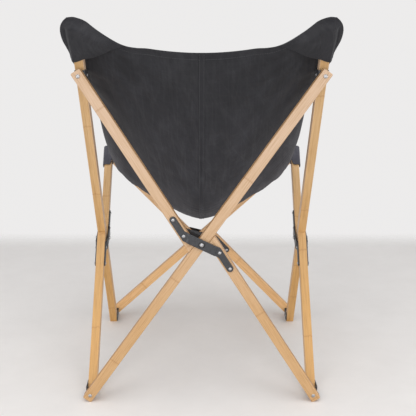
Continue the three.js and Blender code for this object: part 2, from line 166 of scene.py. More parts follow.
def new_piece(name, points, faces, material, body, slot, uv=None, smooth=True):
    """A mesh object at the origin that rides on a CAD body. uv holds one pair per point."""
    mesh = bpy.data.meshes.new(name)
    mesh.from_pydata(np.reshape(points, (-1, 3)).tolist(), [], [list(map(int, face)) for face in faces])
    mesh.polygons.foreach_set("use_smooth", np.full(len(mesh.polygons), smooth))
    if uv is not None:
        corners = np.zeros(len(mesh.loops), np.int32)
        mesh.loops.foreach_get("vertex_index", corners)
        layer = mesh.uv_layers.new(name="cloth")
        layer.data.foreach_set("uv", np.reshape(uv, (-1, 2))[corners].astype(np.float32).ravel())
    mesh.materials.append(material)
    mesh.update()
    piece = add_object(name, mesh)
    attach(piece, body)
    return piece


def closed_piece(*settings, **options):
    """A closed shell as a new piece, its doubles merged and every face turned outwards."""
    piece = new_piece(*settings, **options)
    work = bmesh.new()
    work.from_mesh(piece.data)
    bmesh.ops.remove_doubles(work, verts=work.verts, dist=MERGE_DISTANCE)
    bmesh.ops.recalc_face_normals(work, faces=work.faces)
    work.to_mesh(piece.data)
    work.free()
    piece.data.update()
    return piece


def grid_faces(rows, columns, wrap=False, flip=False):
    """Quads of a grid of points, row by row. wrap closes each row into a ring."""
    index = np.arange(rows * columns).reshape(rows, columns)
    if wrap:
        index = np.concatenate([index, index[:, :1]], axis=1)
    quads = np.stack([index[:-1, :-1], index[:-1, 1:], index[1:, 1:], index[1:, :-1]], axis=-1)
    quads = quads.reshape(-1, 4)
    return quads[:, ::-1] if flip else quads


def bar_faces(rows, columns):
    """Faces of a closed section carried along a path, with a cap at each end."""
    first = np.arange(columns)
    last = (rows - 1) * columns + first[::-1]
    return [*grid_faces(rows, columns, wrap=True).tolist(), first.tolist(), last.tolist()]


def joined(parts):
    """Several (points, faces) sets as one, with the face numbers moved on."""
    points, faces, start = [], [], 0
    for part_points, part_faces in parts:
        points.append(np.reshape(part_points, (-1, 3)))
        faces.extend([int(i) + start for i in face] for face in part_faces)
        start += len(points[-1])
    return np.concatenate(points), faces


def turned(profile, centre, axis, steps=28):
    """A body of revolution: (radius, height) pairs of a profile that starts and ends on the axis."""
    profile = np.asarray(profile, float)
    axis = unit(axis)
    first = unit(np.cross(axis, X if abs(axis[0]) < 0.9 else Y))
    second = np.cross(axis, first)
    angle = np.linspace(0, 2 * math.pi, steps, endpoint=False)
    around = np.cos(angle)[:, None] * first + np.sin(angle)[:, None] * second
    rings = profile[1:-1, 0, None, None] * around + profile[1:-1, 1, None, None] * axis
    points = np.concatenate([[profile[0, 1] * axis], rings.reshape(-1, 3), [profile[-1, 1] * axis]])
    wall = grid_faces(len(profile) - 2, steps, wrap=True) + 1
    each = np.arange(steps)
    beside = (each + 1) % steps
    last = len(points) - 1
    low = np.stack([np.zeros(steps, int), beside + 1, each + 1], axis=1)
    high = np.stack([np.full(steps, last), each + last - steps, beside + last - steps], axis=1)
    return points + np.asarray(centre), [*wall.tolist(), *low.tolist(), *high.tolist()]


# Materials
BLACK, WHITE = (0, 0, 0), (1, 1, 1)


def lifted(lift, *shades):
    """Colours times one factor."""
    return [tuple(lift * c for c in shade) for shade in shades]


class Board:
    """Adds nodes to the tree of a material or of the world, and wires them up."""

    def __init__(self, tree):
        self.tree = tree

    def feed(self, socket, value):
        """Links a socket from another one, or sets its value."""
        if isinstance(value, bpy.types.NodeSocket):
            self.tree.links.new(value, socket)
        else:
            socket.default_value = value

    def add(self, kind, *ordered, **named):
        """A node with its properties set, then its inputs by name, then its inputs in order."""
        node = self.tree.nodes.new("ShaderNode" + kind)
        inputs = {}
        for key, value in named.items():
            if hasattr(node, key):
                setattr(node, key, value)
            else:
                inputs[key] = value
        for key, value in inputs.items():
            self.feed(node.inputs[key], value)
        for socket, value in zip(node.inputs, ordered):
            self.feed(socket, value)
        return node

    def maths(self, operation, *values):
        """A sum of that name on the values."""
        return self.add("Math", *values, operation=operation).outputs["Value"]

    def dot(self, vector, way):
        """How far a vector goes along a direction."""
        return self.add("VectorMath", vector, way.tolist(), operation="DOT_PRODUCT").outputs["Value"]

    def split(self, vector):
        """The X, Y and Z of a vector."""
        return self.add("SeparateXYZ", vector).outputs

    def placed(self, vector, **settings):
        """A vector moved, turned and scaled."""
        return self.add("Mapping", Vector=vector, **settings).outputs["Vector"]

    def noise(self, place, **settings):
        """Noise from 0 to 1."""
        return self.add("TexNoise", Vector=place, **settings).outputs["Fac"]

    def spread(self, driver, low, high):
        """A driver from 0 to 1 spread from low to high."""
        return self.add("MapRange", Value=driver, **{"To Min": low, "To Max": high}).outputs["Result"]

    def shade(self, driver, *stops):
        """The colour that a ramp of (place, colour) stops gives for a driver."""
        node = self.add("ValToRGB", Fac=driver)
        elements = node.color_ramp.elements
        while len(elements) < len(stops):
            elements.new(0.5)
        for element, (place, colour) in zip(elements, stops):
            element.position = place
            element.color = (*colour, 1)
        return node.outputs["Color"]

    def mix(self, kind, amount, first, second):
        """Two colours mixed in the way of that name."""
        node = self.add("Mix", data_type="RGBA", blend_type=kind, Factor=amount, A=first, B=second)
        return node.outputs["Result"]


class Finish(Board):
    """A new material and its main shader."""

    def __init__(self, name):
        self.material = bpy.data.materials.new(name)
        self.material.use_nodes = True
        super().__init__(self.material.node_tree)
        self.shader = self.tree.nodes["Principled BSDF"]

    def give(self, **inputs):
        """Sets or links the shader's inputs, with _ for each space in a name."""
        for name, value in inputs.items():
            self.feed(self.shader.inputs[name.replace("_", " ")], value)

    def bump(self, height, strength, distance):
        """A bump on top of the one before it, if any."""
        node = self.add("Bump", Strength=strength, Distance=distance, Height=height)
        normal = self.shader.inputs["Normal"]
        if normal.is_linked:
            self.feed(node.inputs["Normal"], normal.links[0].from_socket)
        self.feed(normal, node.outputs["Normal"])


BAMBOO_PALE = (0.745, 0.545, 0.395)
BAMBOO_HONEY = (0.675, 0.465, 0.305)
BAMBOO_DEEP = (0.505, 0.315, 0.165)
DARK_STRIP = (0.84, 0.81, 0.76)
KNOT_LINE, KNOT_RIM = (0.66, 0.54, 0.43), (0.84, 0.76, 0.67)
EDGE_GRAIN = (0.74, 0.63, 0.46)
SIDE_EDGE_GRAIN = (1.0, 0.92, 0.66)
# Painted sheen: low down the bamboo is multiplied by this tone, fading to white higher up, so the top of the
# chair is painted paler
PAINTED_SHEEN_LOW_TONE = (0.95, 0.835, 0.59)
PAINTED_SHEEN_FROM, PAINTED_SHEEN_FULL = 0.18, 0.58
# Painted light for each cross: the front cross is painted paler where the sling shades it, the rear a little
# darker
CROSS_PAINTED_LIGHT = {"rear": 0.90, "front": 1.27, "left": 0.945, "right": 0.945}
FIBRE_DRAW, STRIP_DRAW = 0.02, 0.006
KNOT_SPACING, KNOT_STAGGER = 0.24, 0.02


def bamboo_material(name, along, aside, phase, edge_grain, lift):
    """Laminated bamboo: fine fibres drawn out along the rod, strips glued side by side, a faint knot
    line across each strip at its own place, and deeper edge grain on the two faces of the layers. A painted
    sheen makes it paler towards the top of the chair, and lift is a painted light for the whole cross."""
    wood = Finish(name)
    coordinates = wood.add("TexCoord").outputs
    along, aside = unit(along), unit(aside)
    parts = [wood.dot(coordinates["Object"], way) for way in (along, aside, np.cross(along, aside))]
    rod = wood.add("CombineXYZ", *parts).outputs["Vector"]
    drawn = wood.placed(rod, Scale=(FIBRE_DRAW, 1, 1), Location=(phase, phase, 0))
    fibre = wood.noise(drawn, Scale=900, Detail=4, Roughness=0.6)
    deep, honey, pale = lifted(lift, BAMBOO_DEEP, BAMBOO_HONEY, BAMBOO_PALE)
    colour = wood.shade(fibre, (0.30, deep), (0.47, honey), (0.66, pale))
    drawn = wood.placed(rod, Scale=(STRIP_DRAW, 1, 1), Location=(phase, 0.3, 0))
    strips = wood.add("TexVoronoi", voronoi_dimensions="2D", feature="F1", Vector=drawn, Scale=170).outputs
    tone = wood.shade(strips["Color"], (0.0, DARK_STRIP), (1.0, WHITE))
    colour = wood.mix("MULTIPLY", 0.75, colour, tone)
    spaced = wood.maths("MULTIPLY_ADD", parts[0], 1 / KNOT_SPACING, 3 * phase)
    spaced = wood.maths("MULTIPLY_ADD", strips["Distance"], KNOT_STAGGER, spaced)
    knots = wood.add("TexVoronoi", voronoi_dimensions="1D", feature="DISTANCE_TO_EDGE", W=spaced, Scale=1)
    tone = wood.shade(knots.outputs["Distance"], (0.0, KNOT_LINE), (0.005, KNOT_RIM), (0.014, WHITE))
    colour = wood.mix("MULTIPLY", 0.55, colour, tone)
    flatness = wood.maths("ABSOLUTE", wood.dot(coordinates["Normal"], aside))
    colour = wood.mix("MULTIPLY", 1.0, colour, wood.shade(flatness, (0.25, edge_grain), (0.75, WHITE)))
    # Painted sheen: paler towards the top of the chair, deeper and yellower near the floor
    height = wood.split(coordinates["Object"])["Z"]
    tone = wood.shade(height, (PAINTED_SHEEN_FROM, PAINTED_SHEEN_LOW_TONE), (PAINTED_SHEEN_FULL, WHITE))
    colour = wood.mix("MULTIPLY", 1.0, colour, tone)
    wood.give(Base_Color=colour, Roughness=wood.spread(fibre, 0.34, 0.52))
    wood.bump(fibre, 0.18, 0.0006)
    return wood.material


CANVAS_DARK = (0.0170, 0.0167, 0.0218)
CANVAS_MID = (0.0270, 0.0265, 0.0335)
CANVAS_WORN = (0.0490, 0.0490, 0.0590)
THREADS_PER_METRE = 900
THREADS_PER_WAVE_SCALE = 6.3
SLUB_DRAW = 0.05

# Pale lines as (length, width, turn, strength): crease lines down the cloth and across it, and painted
# highlights of folds out from the front pockets
CREASES_AND_PAINTED_FOLD_HIGHLIGHTS = [(0.50, 0.050, 1.54, 0.0090), (0.30, 0.070, 0.15, 0.0035), (0.45, 0.050, 1.02, 0.0060)]

# Painted shade down the sling, darker on the back and paler at the seat, as (metres down from its top edge,
# share)
PAINTED_SHADE_DOWN_SLING = [(0.0, 0.22), (0.08, 0.24), (0.18, 0.31), (0.30, 0.40),
             (0.38, 0.50), (0.46, 0.76), (0.54, 1.0)]


def canvas_material(name, lift, painted_sling_shade=False):
    """Washed charcoal canvas on the cloth's own map: warp and weft waves, slubs drawn out along the
    threads, paler worn patches, crease lines and painted highlights of folds. The sling also has painted
    shade, darker on the back and paler at the seat."""
    fabric = Finish(name)
    cloth = fabric.add("UVMap", uv_map="cloth").outputs["UV"]
    scale = THREADS_PER_METRE / THREADS_PER_WAVE_SCALE
    waves = []
    slubs = []
    for way, drawn in (("X", (1, SLUB_DRAW, 1)), ("Y", (SLUB_DRAW, 1, 1))):
        wave = fabric.add("TexWave", bands_direction=way, Vector=cloth, Scale=scale, Distortion=0.6,
                          Detail=1)
        waves.append(wave.outputs["Color"])
        slubs.append(fabric.noise(fabric.placed(cloth, Scale=drawn), Scale=420, Detail=3, Roughness=0.65))
    weave = fabric.mix("MULTIPLY", 1.0, *waves)
    slub = fabric.mix("MIX", 0.5, *slubs)
    wear = fabric.noise(cloth, Scale=16, Detail=6, Roughness=0.62, Distortion=0.4)
    dark, mid, worn = lifted(lift, CANVAS_DARK, CANVAS_MID, CANVAS_WORN)
    colour = fabric.shade(fabric.mix("MIX", 0.32, wear, slub), (0.34, dark), (0.50, mid), (0.68, worn))
    # Crease lines, and painted highlights of folds out from the front pockets
    for length, width, turn, amount in CREASES_AND_PAINTED_FOLD_HIGHLIGHTS:
        place = fabric.placed(cloth, vector_type="TEXTURE", Scale=(length, width, 1), Rotation=(0, 0, turn))
        crease = fabric.noise(place, Scale=2.2, Detail=4, Roughness=0.5, Distortion=0.5)
        line = fabric.shade(crease, (0.46, BLACK), (0.5, WHITE), (0.54, BLACK))
        colour = fabric.mix("ADD", lift * amount, colour, line)
    # Painted shade: the sling is darker down its back and paler at the seat
    if painted_sling_shade:
        tones = [(place, (share, share, share)) for place, share in PAINTED_SHADE_DOWN_SLING]
        colour = fabric.mix("MULTIPLY", 1.0, colour, fabric.shade(fabric.split(cloth)["Y"], *tones))
    fabric.give(Base_Color=colour, Roughness=0.92, Sheen_Weight=0.05, Sheen_Roughness=0.55)
    fabric.bump(weave, 0.35, 0.0005)
    fabric.bump(slub, 0.35, 0.0012)
    return fabric.material


GLOSS_SPREAD = 0.08


def steel_material(name, colour, metallic, roughness, mottle, grain):
    """Steel with fine uneven gloss and a slight mottle of its colour."""
    steel = Finish(name)
    place = steel.add("TexCoord").outputs["Object"]
    patches = steel.noise(place, Scale=240, Detail=5, Roughness=0.6)
    low, high = lifted(1 - mottle, colour) + lifted(1 + mottle, colour)
    gloss = steel.spread(patches, roughness - GLOSS_SPREAD, roughness + GLOSS_SPREAD)
    tone = steel.shade(patches, (0.35, low), (0.65, high))
    steel.give(Base_Color=tone, Metallic=metallic, Roughness=gloss)
    steel.bump(steel.noise(place, Scale=1800, Detail=2), grain, 0.0002)
    return steel.material


# The same canvas three times: the sling, the ear patches with painted shade, and the front pouches with
# painted light
canvas = canvas_material("charcoal_canvas", 1.9, painted_sling_shade=True)
patch_canvas_painted_shade = canvas_material("charcoal_canvas_patch_painted_shade", 0.50)
pocket_canvas_painted_light = canvas_material("charcoal_canvas_pocket_painted_light", 2.4)
thread = steel_material("sewing_thread", (0.045, 0.046, 0.05), 0.0, 0.8, 0.25, 0.3)
black_steel = steel_material("black_powder_coat", (0.043, 0.0445, 0.049), 0.3, 0.40, 0.2, 0.35)
black_washer = steel_material("black_nylon", (0.007, 0.007, 0.008), 0.0, 0.3, 0.2, 0.2)
bright_steel = steel_material("nickel_rivet", (0.40, 0.40, 0.41), 1.0, 0.33, 0.06, 0.1)


# Rods and brackets: the CAD solids with their finishes
CROSS_PHASE, ROD_PHASE = 0.37, 1.13


def dress(node, material):
    """Gives a CAD solid its finish."""
    node.data.materials.clear()
    node.data.materials.append(material)


def finish_rods():
    """Bamboo drawn along each rod, from a place of its own in the grain."""
    for number, (name, (cross, _, across, outward)) in enumerate(PLANES.items()):
        edge_grain = SIDE_EDGE_GRAIN if name in SIDES else EDGE_GRAIN
        rods = (("long_rod", cross.long_axis), ("upper_half_rod", cross.split_axis),
                ("lower_half_rod", cross.split_axis))
        for place, (kind, way) in enumerate(rods):
            rod = f"{name}_{kind}"
            along = way[0] * across + way[1] * Z
            phase = CROSS_PHASE * number + ROD_PHASE * place
            # The cross's painted light scales all its bamboo colours
            bamboo = bamboo_material(f"bamboo_{rod}", along, outward, phase, edge_grain, CROSS_PAINTED_LIGHT[name])
            dress(frame["nodes"][rod], bamboo)


def finish_brackets():
    """Black steel on the corner brackets."""
    for name, node in frame["nodes"].items():
        if name.endswith("_bracket"):
            dress(node, black_steel)


# Plates: a flat bar bent to a Z, its waist stepped up over the long rod
PLATE_THICKNESS = 0.0025
PLATE_GAP = 0.0003
PLATE_EDGE = 0.0009
LEG_HALF_WIDTH, WAIST_HALF_WIDTH = 0.0075, 0.0108
RIVET_NEAR, RIVET_FAR = 0.037, 0.080
STEP_HEIGHT = 0.0026
STEP_OUTSIDE, STEP_INSIDE = 0.0302, 0.0278
LEG_STEPS, WAIST_STEPS, END_STEPS = 8, 44, 9
LEG_SPOTS = ((-RIVET_FAR, HALF_OFFSET), (-RIVET_NEAR, HALF_OFFSET),
             (RIVET_NEAR, -HALF_OFFSET), (RIVET_FAR, -HALF_OFFSET))


def plate_outline(cross):
    """Both edges of the bar in the cross's plane: lines set off from the three lengths of its bent
    middle line, met at the bends, with a quarter round at each end."""
    spine = np.stack([cross.spot(*spot) for spot in LEG_SPOTS])
    ways = unit(np.diff(spine, axis=0))
    normals = np.stack([-ways[:, 1], ways[:, 0]], axis=1)
    widths = np.array([LEG_HALF_WIDTH, WAIST_HALF_WIDTH, LEG_HALF_WIDTH])[:, None]
    turn = np.linspace(math.pi / 2, 0, END_STEPS)[:-1, None]
    edges = []
    for sign in (1, -1):
        starts = spine[:3] + sign * widths * normals
        bends = [meeting(starts[i], ways[i], starts[i + 1], ways[i + 1]) for i in (0, 1)]
        corners = [starts[0], *bends, spine[3] + sign * LEG_HALF_WIDTH * normals[2]]
        lengths = []
        for a, b, count in zip(corners[:-1], corners[1:], (LEG_STEPS, WAIST_STEPS, LEG_STEPS)):
            lengths.append(a + (b - a) * np.linspace(0, 1, count, endpoint=False)[:, None])
        foot = spine[0] + LEG_HALF_WIDTH * (-np.cos(turn) * ways[0] + sign * np.sin(turn) * normals[0])
        head = spine[3] + LEG_HALF_WIDTH * (np.cos(turn) * ways[2] + sign * np.sin(turn) * normals[2])
        edges.append(np.concatenate([foot[::-1], np.concatenate(lengths)[1:], head]))
    return edges


def build_plate(name, facing):
    """The bar's cross-section, a rectangle with eased corners, carried along its two edges. Between the
    inner rivets the bar is stepped off the rods."""
    cross = PLANES[name][0]
    left, right = plate_outline(cross)
    middle = (left + right) / 2
    half = (left - right) / 2
    along = np.abs((middle - cross.pivot) @ cross.split_axis)
    step = STEP_HEIGHT * np.clip((STEP_OUTSIDE - along) / (STEP_OUTSIDE - STEP_INSIDE), 0, 1)
    low = (ROD_THICKNESS / 2 + PLATE_GAP + step)[:, None]
    reach = np.linalg.norm(half, axis=1, keepdims=True)
    shrink = np.maximum(reach - PLATE_EDGE, 0) / np.maximum(reach, 1e-9)
    shoulder = PLATE_THICKNESS - PLATE_EDGE
    section = [(1.0, 0.0), (1.0, shoulder), (shrink, PLATE_THICKNESS),
               (-shrink, PLATE_THICKNESS), (-1.0, shoulder), (-1.0, 0.0)]
    columns = [stand(name, middle + half * share) + facing * (low + height) for share, height in section]
    return np.stack(columns, axis=1), bar_faces(len(left), len(section))


HEAD_RIM = 0.0004
HEAD_STEPS = 7


def head_profile(radius, height, sunk=0.0):
    """A domed head, half an ellipse on a short straight rim, closed below at a depth of sunk."""
    angle = np.linspace(0, math.pi / 2, HEAD_STEPS)[1:-1]
    crown = np.stack([radius * np.cos(angle), (height - HEAD_RIM) * np.sin(angle) + HEAD_RIM], axis=1)
    return np.concatenate([[[0, -sunk], [radius, -sunk], [radius, HEAD_RIM]], crown, [[0, height]]])


RIVET_RADIUS, RIVET_HEIGHT, RIVET_SUNK = 0.0037, 0.0022, 0.0002
PIVOT_RADIUS, PIVOT_HEIGHT = 0.0047, 0.0031
WASHER_RADIUS, WASHER_HEIGHT = 0.0070, 0.0009
WASHER_SUNK, WASHER_RIM, WASHER_EDGE = 0.0001, 0.0005, 0.0006
WASHER_PROFILE = [(0, -WASHER_SUNK), (WASHER_RADIUS, -WASHER_SUNK), (WASHER_RADIUS, WASHER_RIM),
                  (WASHER_RADIUS - WASHER_EDGE, WASHER_HEIGHT), (0, WASHER_HEIGHT)]
WASHER_STEPS = 36


def build_cross_hardware(name):
    """Both plates of a cross, its leg rivets, and the washer and domed head on each end of its pivot."""
    cross, _, _, outward = PLANES[name]
    split, long = f"{name}_split", f"{name}_long"
    face = ROD_THICKNESS / 2 + PLATE_GAP + PLATE_THICKNESS
    rivet = head_profile(RIVET_RADIUS, RIVET_HEIGHT, RIVET_SUNK)
    for side, facing in (("outer", outward), ("inner", -outward)):
        label = f"{name}_{side}"
        bar = build_plate(name, facing)
        plate = closed_piece(f"{label}_z_plate", *bar, black_steel, split, "black_steel", smooth=False)
        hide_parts(f"{label}_plate")
        spots = [stand(name, cross.spot(*spot)) + facing * face for spot in LEG_SPOTS]
        heads = joined([turned(rivet, spot, facing) for spot in spots])
        closed_piece(f"{label}_leg_rivets", *heads, bright_steel, split, "bright_steel")
        spot = stand(name, cross.pivot) + facing * (face + STEP_HEIGHT)
        washer = turned(WASHER_PROFILE, spot, facing, WASHER_STEPS)
        closed_piece(f"{label}_washer", *washer, black_washer, long, "black_steel")
        head = turned(head_profile(PIVOT_RADIUS, PIVOT_HEIGHT), spot + facing * WASHER_HEIGHT, facing)
        pivot = closed_piece(f"{label}_pivot_head", *head, bright_steel, long, "bright_steel")
        if side == "outer":
            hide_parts(f"{name}_pivot_rivet")


# Corner screws: where each corner is and which way its cross screws look
SCREW_RADIUS, SCREW_HEIGHT = 0.0043, 0.0021
SCREW_SHANK = 0.0025
SCREW_SEAT = 0.002
SCREW_TAIL = 0.95
SHANK_STEPS = 20
CORNERS = (("rear", "foot", 0, FOOT_HEIGHT, -Y), ("rear", "ear", 0, EAR_HEIGHT, -Y),
           ("front", "foot", DEPTH, FOOT_HEIGHT, Y), ("front", "top", DEPTH, FRONT_HEIGHT, Y))
ONE_HEADED = ("front_right_foot_cross_screw", "_ear_cross_screw", "_top_cross_screw")


def body_of_node(name):
    """The body that a CAD node belongs to."""
    bodies = frame["record"]["behaviour"]["bodies"]
    return next(body for body, members in bodies.items() if name in members)


def build_screws():
    """Corner screws: a low dome at each end that has one, and the plain shank between."""
    head = head_profile(SCREW_RADIUS, SCREW_HEIGHT)
    tail = head_profile(SCREW_RADIUS * SCREW_TAIL, SCREW_HEIGHT * SCREW_TAIL)
    for end, place, y, z, ahead in CORNERS:
        for side, sign in SIDES.items():
            centre = np.array([sign * HALF_WIDTH, y + SHIFT, z])
            for kind, way in (("side", sign * X), ("cross", ahead)):
                node = f"{end}_{side}_{place}_{kind}_screw"
                two_headed = not node.endswith(ONE_HEADED)
                low, high = sorted((np.array(corner) - centre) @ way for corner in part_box(node))
                top = high - SCREW_SEAT
                foot = low + (SCREW_SEAT if two_headed else 0)
                shank = [(0, foot), (SCREW_SHANK, foot), (SCREW_SHANK, top), (0, top)]
                parts = [turned(head, centre + way * top, way), turned(shank, centre, way, SHANK_STEPS)]
                if two_headed:
                    parts.append(turned(tail, centre + way * foot, -way))
                body = body_of_node(node)
                screw = closed_piece(f"{node}_turned", *joined(parts), bright_steel, body, "bright_steel")
                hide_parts(node)


# Sling: its edge and its middle as curves in the side crosses' plane
EAR_AXIS = SIDE.long_axis
EAR_FRONT = np.array([EAR_AXIS[1], -EAR_AXIS[0]])
POST_AXIS = SIDE.split_axis
EAR_EDGE = SIDE.long_high + EAR_AXIS * 0.103
POST_EDGE = SIDE.split_high + POST_AXIS * 0.016
EDGE_CURVE = [EAR_EDGE, (0.110, 0.705), (0.260, 0.500), POST_EDGE]
MIDDLE_CURVE = [EAR_EDGE + [0.103, -0.045], (0.065, 0.490), (0.120, 0.241), POST_EDGE - [0, 0.064]]
SLING_HALF_WIDTH = 0.2425
SLING_LENGTH = 0.62
CLOTH_THICKNESS = 0.0016

# The ear's outline as (share, out, up, ahead): out from the middle, up along the rod from its joint
# and ahead of the rod's middle. The top edge goes by u, the outer edge by v.
EAR_TOP_EDGE = np.array([
    (0.440, 0.1067, 0.0290, 0.0525),
    (0.577, 0.1399, 0.0390, 0.0420),
    (0.644, 0.1562, 0.0450, 0.0374),
    (0.710, 0.1721, 0.0545, 0.0328),
    (0.770, 0.1874, 0.0680, 0.0276),
    (0.825, 0.2023, 0.0833, 0.0225),
    (0.875, 0.2168, 0.0991, 0.0173),
    (0.920, 0.2309, 0.1155, 0.0122),
    (0.960, 0.2449, 0.1300, 0.0070),
    (0.980, 0.2580, 0.1355, 0.0050),
    (1.000, 0.2714, 0.1355, 0.0030),
])
EAR_SIDE_EDGE = np.array([
    (0.000, 0.2714, 0.1355, 0.0030),
    (0.010, 0.2783, 0.1295, 0.0015),
    (0.020, 0.2832, 0.1229, 0.0005),
    (0.042, 0.2874, 0.1090, 0.0000),
    (0.064, 0.2872, 0.0950, 0.0000),
    (0.086, 0.2845, 0.0807, 0.0000),
    (0.106, 0.2792, 0.0663, 0.0000),
    (0.122, 0.2745, 0.0517, 0.0000),
    (0.136, 0.2735, 0.0360, 0.0040),
    (0.165, 0.2735, 0.0130, 0.0240),
    (0.205, 0.2690, -0.0190, 0.0415),
])
EAR_ROD_COVER = 0.0132
EAR_ROD_TOP = 0.117
EAR_ROD_OUTSIDE = 0.2668
EAR_END_FALL = 0.014
LEAST_FALL = 0.004
COVER_BLEND = 0.004


def through(table, share):
    """A smooth line through the rows of a table: each span is a cubic with the slopes of its neighbours."""
    key, rows = table[:, 0], table[:, 1:]
    slopes = np.gradient(rows, key, axis=0)
    share = np.clip(share, key[0], key[-1])
    i = np.clip(np.searchsorted(key, share, side="right") - 1, 0, len(key) - 2)
    span = key[i + 1] - key[i]
    t = ((share - key[i]) / span)[..., None]
    span = span[..., None]
    low, high = rows[i], rows[i + 1]
    return ((2 * t**3 - 3 * t**2 + 1) * low + (t**3 - 2 * t**2 + t) * span * slopes[i]
            + (3 * t**2 - 2 * t**3) * high + (t**3 - t**2) * span * slopes[i + 1])


TOP_FLATNESS, SEAT_FLATNESS, FRONT_FLATNESS = 2.0, 1.0, 1.5
EDGE_ROLL, EDGE_ROLL_POWER = 0.28, 14
CORNER_TUCK = 0.004
NOSE = 0.20


def hung_rows(u, v):
    """Out, up along the ear and ahead of it for the plain sling: each row hangs from its edge in a
    curve, u to a power that eases from back to seat to front, with a steeper roll at the edge."""
    edge = bezier(EDGE_CURVE, v)
    middle = bezier(MIDDLE_CURVE, v)
    power = TOP_FLATNESS + (SEAT_FLATNESS - TOP_FLATNESS) * ramp(v, 0, 0.6)
    power = power + (FRONT_FLATNESS - power) * ramp(v, 0.6, 1)
    roll = EDGE_ROLL * ramp(v, 0.35, 0.75)
    round_nose = NOSE**power
    rise = ((u**2 + NOSE**2) ** (power / 2) - round_nose) / ((1 + NOSE**2) ** (power / 2) - round_nose)
    hang = (1 - roll) * rise + roll * u**EDGE_ROLL_POWER
    offset = middle + (edge - middle) * hang[..., None] - SIDE.long_high
    tuck = CORNER_TUCK * window(v, 0.6, 0.85, 0.93, 1)
    return np.stack([u * (SLING_HALF_WIDTH - tuck), offset @ EAR_AXIS, offset @ EAR_FRONT], axis=-1)


def rod_cover(out, up, v):
    """1 over the ear's rod, falling to 0 at the outer seam and above the rod's end."""
    seam = through(EAR_SIDE_EDGE, v)[..., 0]
    from_seam = ramp(seam - out, 0.0, np.maximum(seam - EAR_ROD_OUTSIDE, LEAST_FALL))
    return from_seam * (1 - ramp(up, EAR_ROD_TOP, EAR_ROD_TOP + EAR_END_FALL))


def higher(a, b, blend):
    """The larger of two values, rounded over where they meet."""
    return (a + b + np.sqrt((a - b) ** 2 + blend**2)) / 2


def ear_frame(u, v):
    """The sling in ear terms. The plain rows are moved so that the edges follow the ear's outline,
    each edge's move fading across the sheet, and the sheet then passes in front of the rod."""
    u, v = np.broadcast_arrays(np.asarray(u, float), np.asarray(v, float))
    plain = hung_rows(u, v)
    zero = np.zeros_like(u)
    top_move = through(EAR_TOP_EDGE, u) - hung_rows(np.clip(u, EAR_TOP_EDGE[0, 0], 1), zero)
    top_move = top_move * ramp(u, EAR_TOP_EDGE[0, 0], EAR_TOP_EDGE[1, 0])[..., None]
    side_v = np.minimum(v, EAR_SIDE_EDGE[-1, 0])
    side_move = through(EAR_SIDE_EDGE, v) - hung_rows(zero + 1, side_v)
    side_move = side_move * (1 - ramp(v, 0.19, 0.33))[..., None]
    corner = EAR_TOP_EDGE[-1, 1:] - hung_rows(zero + 1, zero)
    down = (1 - ramp(v, 0.0, 0.22))[..., None]
    inward = ramp(u, 0.66, 1.0)[..., None]
    moved = plain + down * top_move + inward * side_move - down * inward * corner
    out, up, ahead = moved[..., 0], moved[..., 1], moved[..., 2]
    near_ear = ramp(u, 0.5, 0.75) * (1 - ramp(v, 0.2, 0.3))
    covered = higher(ahead, EAR_ROD_COVER * rod_cover(out, up, v), COVER_BLEND)
    ahead = ahead + (covered - ahead) * near_ear
    return out, up, ahead


def beside_middle(out, figure, side):
    """Points of the side crosses' plane, set at a distance out from the middle."""
    return np.stack([side * out, figure[..., 0] + SHIFT, figure[..., 1]], axis=-1)


def from_ear(out, up, ahead, side):
    """Points from distances out from the middle, up along the ear's rod and ahead of it."""
    figure = SIDE.long_high + up[..., None] * EAR_AXIS + ahead[..., None] * EAR_FRONT
    return beside_middle(out, figure, side)


# Wrinkles: the heights of their waves, and where the fans start, out from the middle and along v
BACK_WAVE, EAR_WAVE, POCKET_WAVE, BELLY_WAVE = 0.0010, 0.0012, 0.0013, 0.0011
EAR_FAN_OUT = 0.27
POCKET_FAN_OUT, POCKET_FAN_V = 0.26, 0.97
BELLY_HALF_WIDTH, BELLY_SAG = 0.24, 0.10
CRESCENT_PITCH = 0.021


def fan(along, across):
    """Angle round a corner and distance from it."""
    return np.arctan2(along, across), np.hypot(along, across)


def wrinkles(x, v, side):
    """Shallow folds as moves back and down, in metres: waves down the back, waves that fan out from the
    ear and from the front pocket by the angle round each, and crescents across the belly."""
    inside = 1 - ramp(x, 0.2, 0.235)
    back = BACK_WAVE * np.sin(62 * x + 9 * v + side) * window(v, 0.02, 0.25, 0.5, 0.9)
    angle, reach = fan(v * SLING_LENGTH, EAR_FAN_OUT - x)
    ear = EAR_WAVE * np.sin(26 * angle + side) * window(reach, 0.06, 0.10, 0.16, 0.28)
    angle, reach = fan((POCKET_FAN_V - v) * SLING_LENGTH, POCKET_FAN_OUT - x)
    pocket = POCKET_WAVE * (np.sin(30 * angle + 2 * side) + 0.5 * np.sin(53 * angle))
    pocket = pocket * window(reach, 0.02, 0.06, 0.14, 0.30) * window(v, 0.5, 0.62, 0.95, 0.99)
    sag = v + BELLY_SAG * (x / BELLY_HALF_WIDTH) ** 2 + 0.006 * np.sin(31 * x + 2 * side)
    crescents = np.sin(2 * math.pi * sag / CRESCENT_PITCH) * (0.6 + 0.4 * np.sin(47 * x + 60 * v))
    belly = BELLY_WAVE * crescents * window(v, 0.48, 0.58, 0.74, 0.84) * inside
    return back + ear * inside, pocket + belly


def sling_surface(u, v, side):
    """The sling's middle sheet. u runs from the middle seam, 0, to the side edge, 1, and v from the
    back's top edge, 0, to the seat's front edge, 1."""
    out, up, ahead = ear_frame(u, v)
    points = from_ear(out, up, ahead, side)
    back, under = wrinkles(out, np.broadcast_to(v, out.shape), side)
    points[..., 1] += back
    points[..., 2] += under
    return points


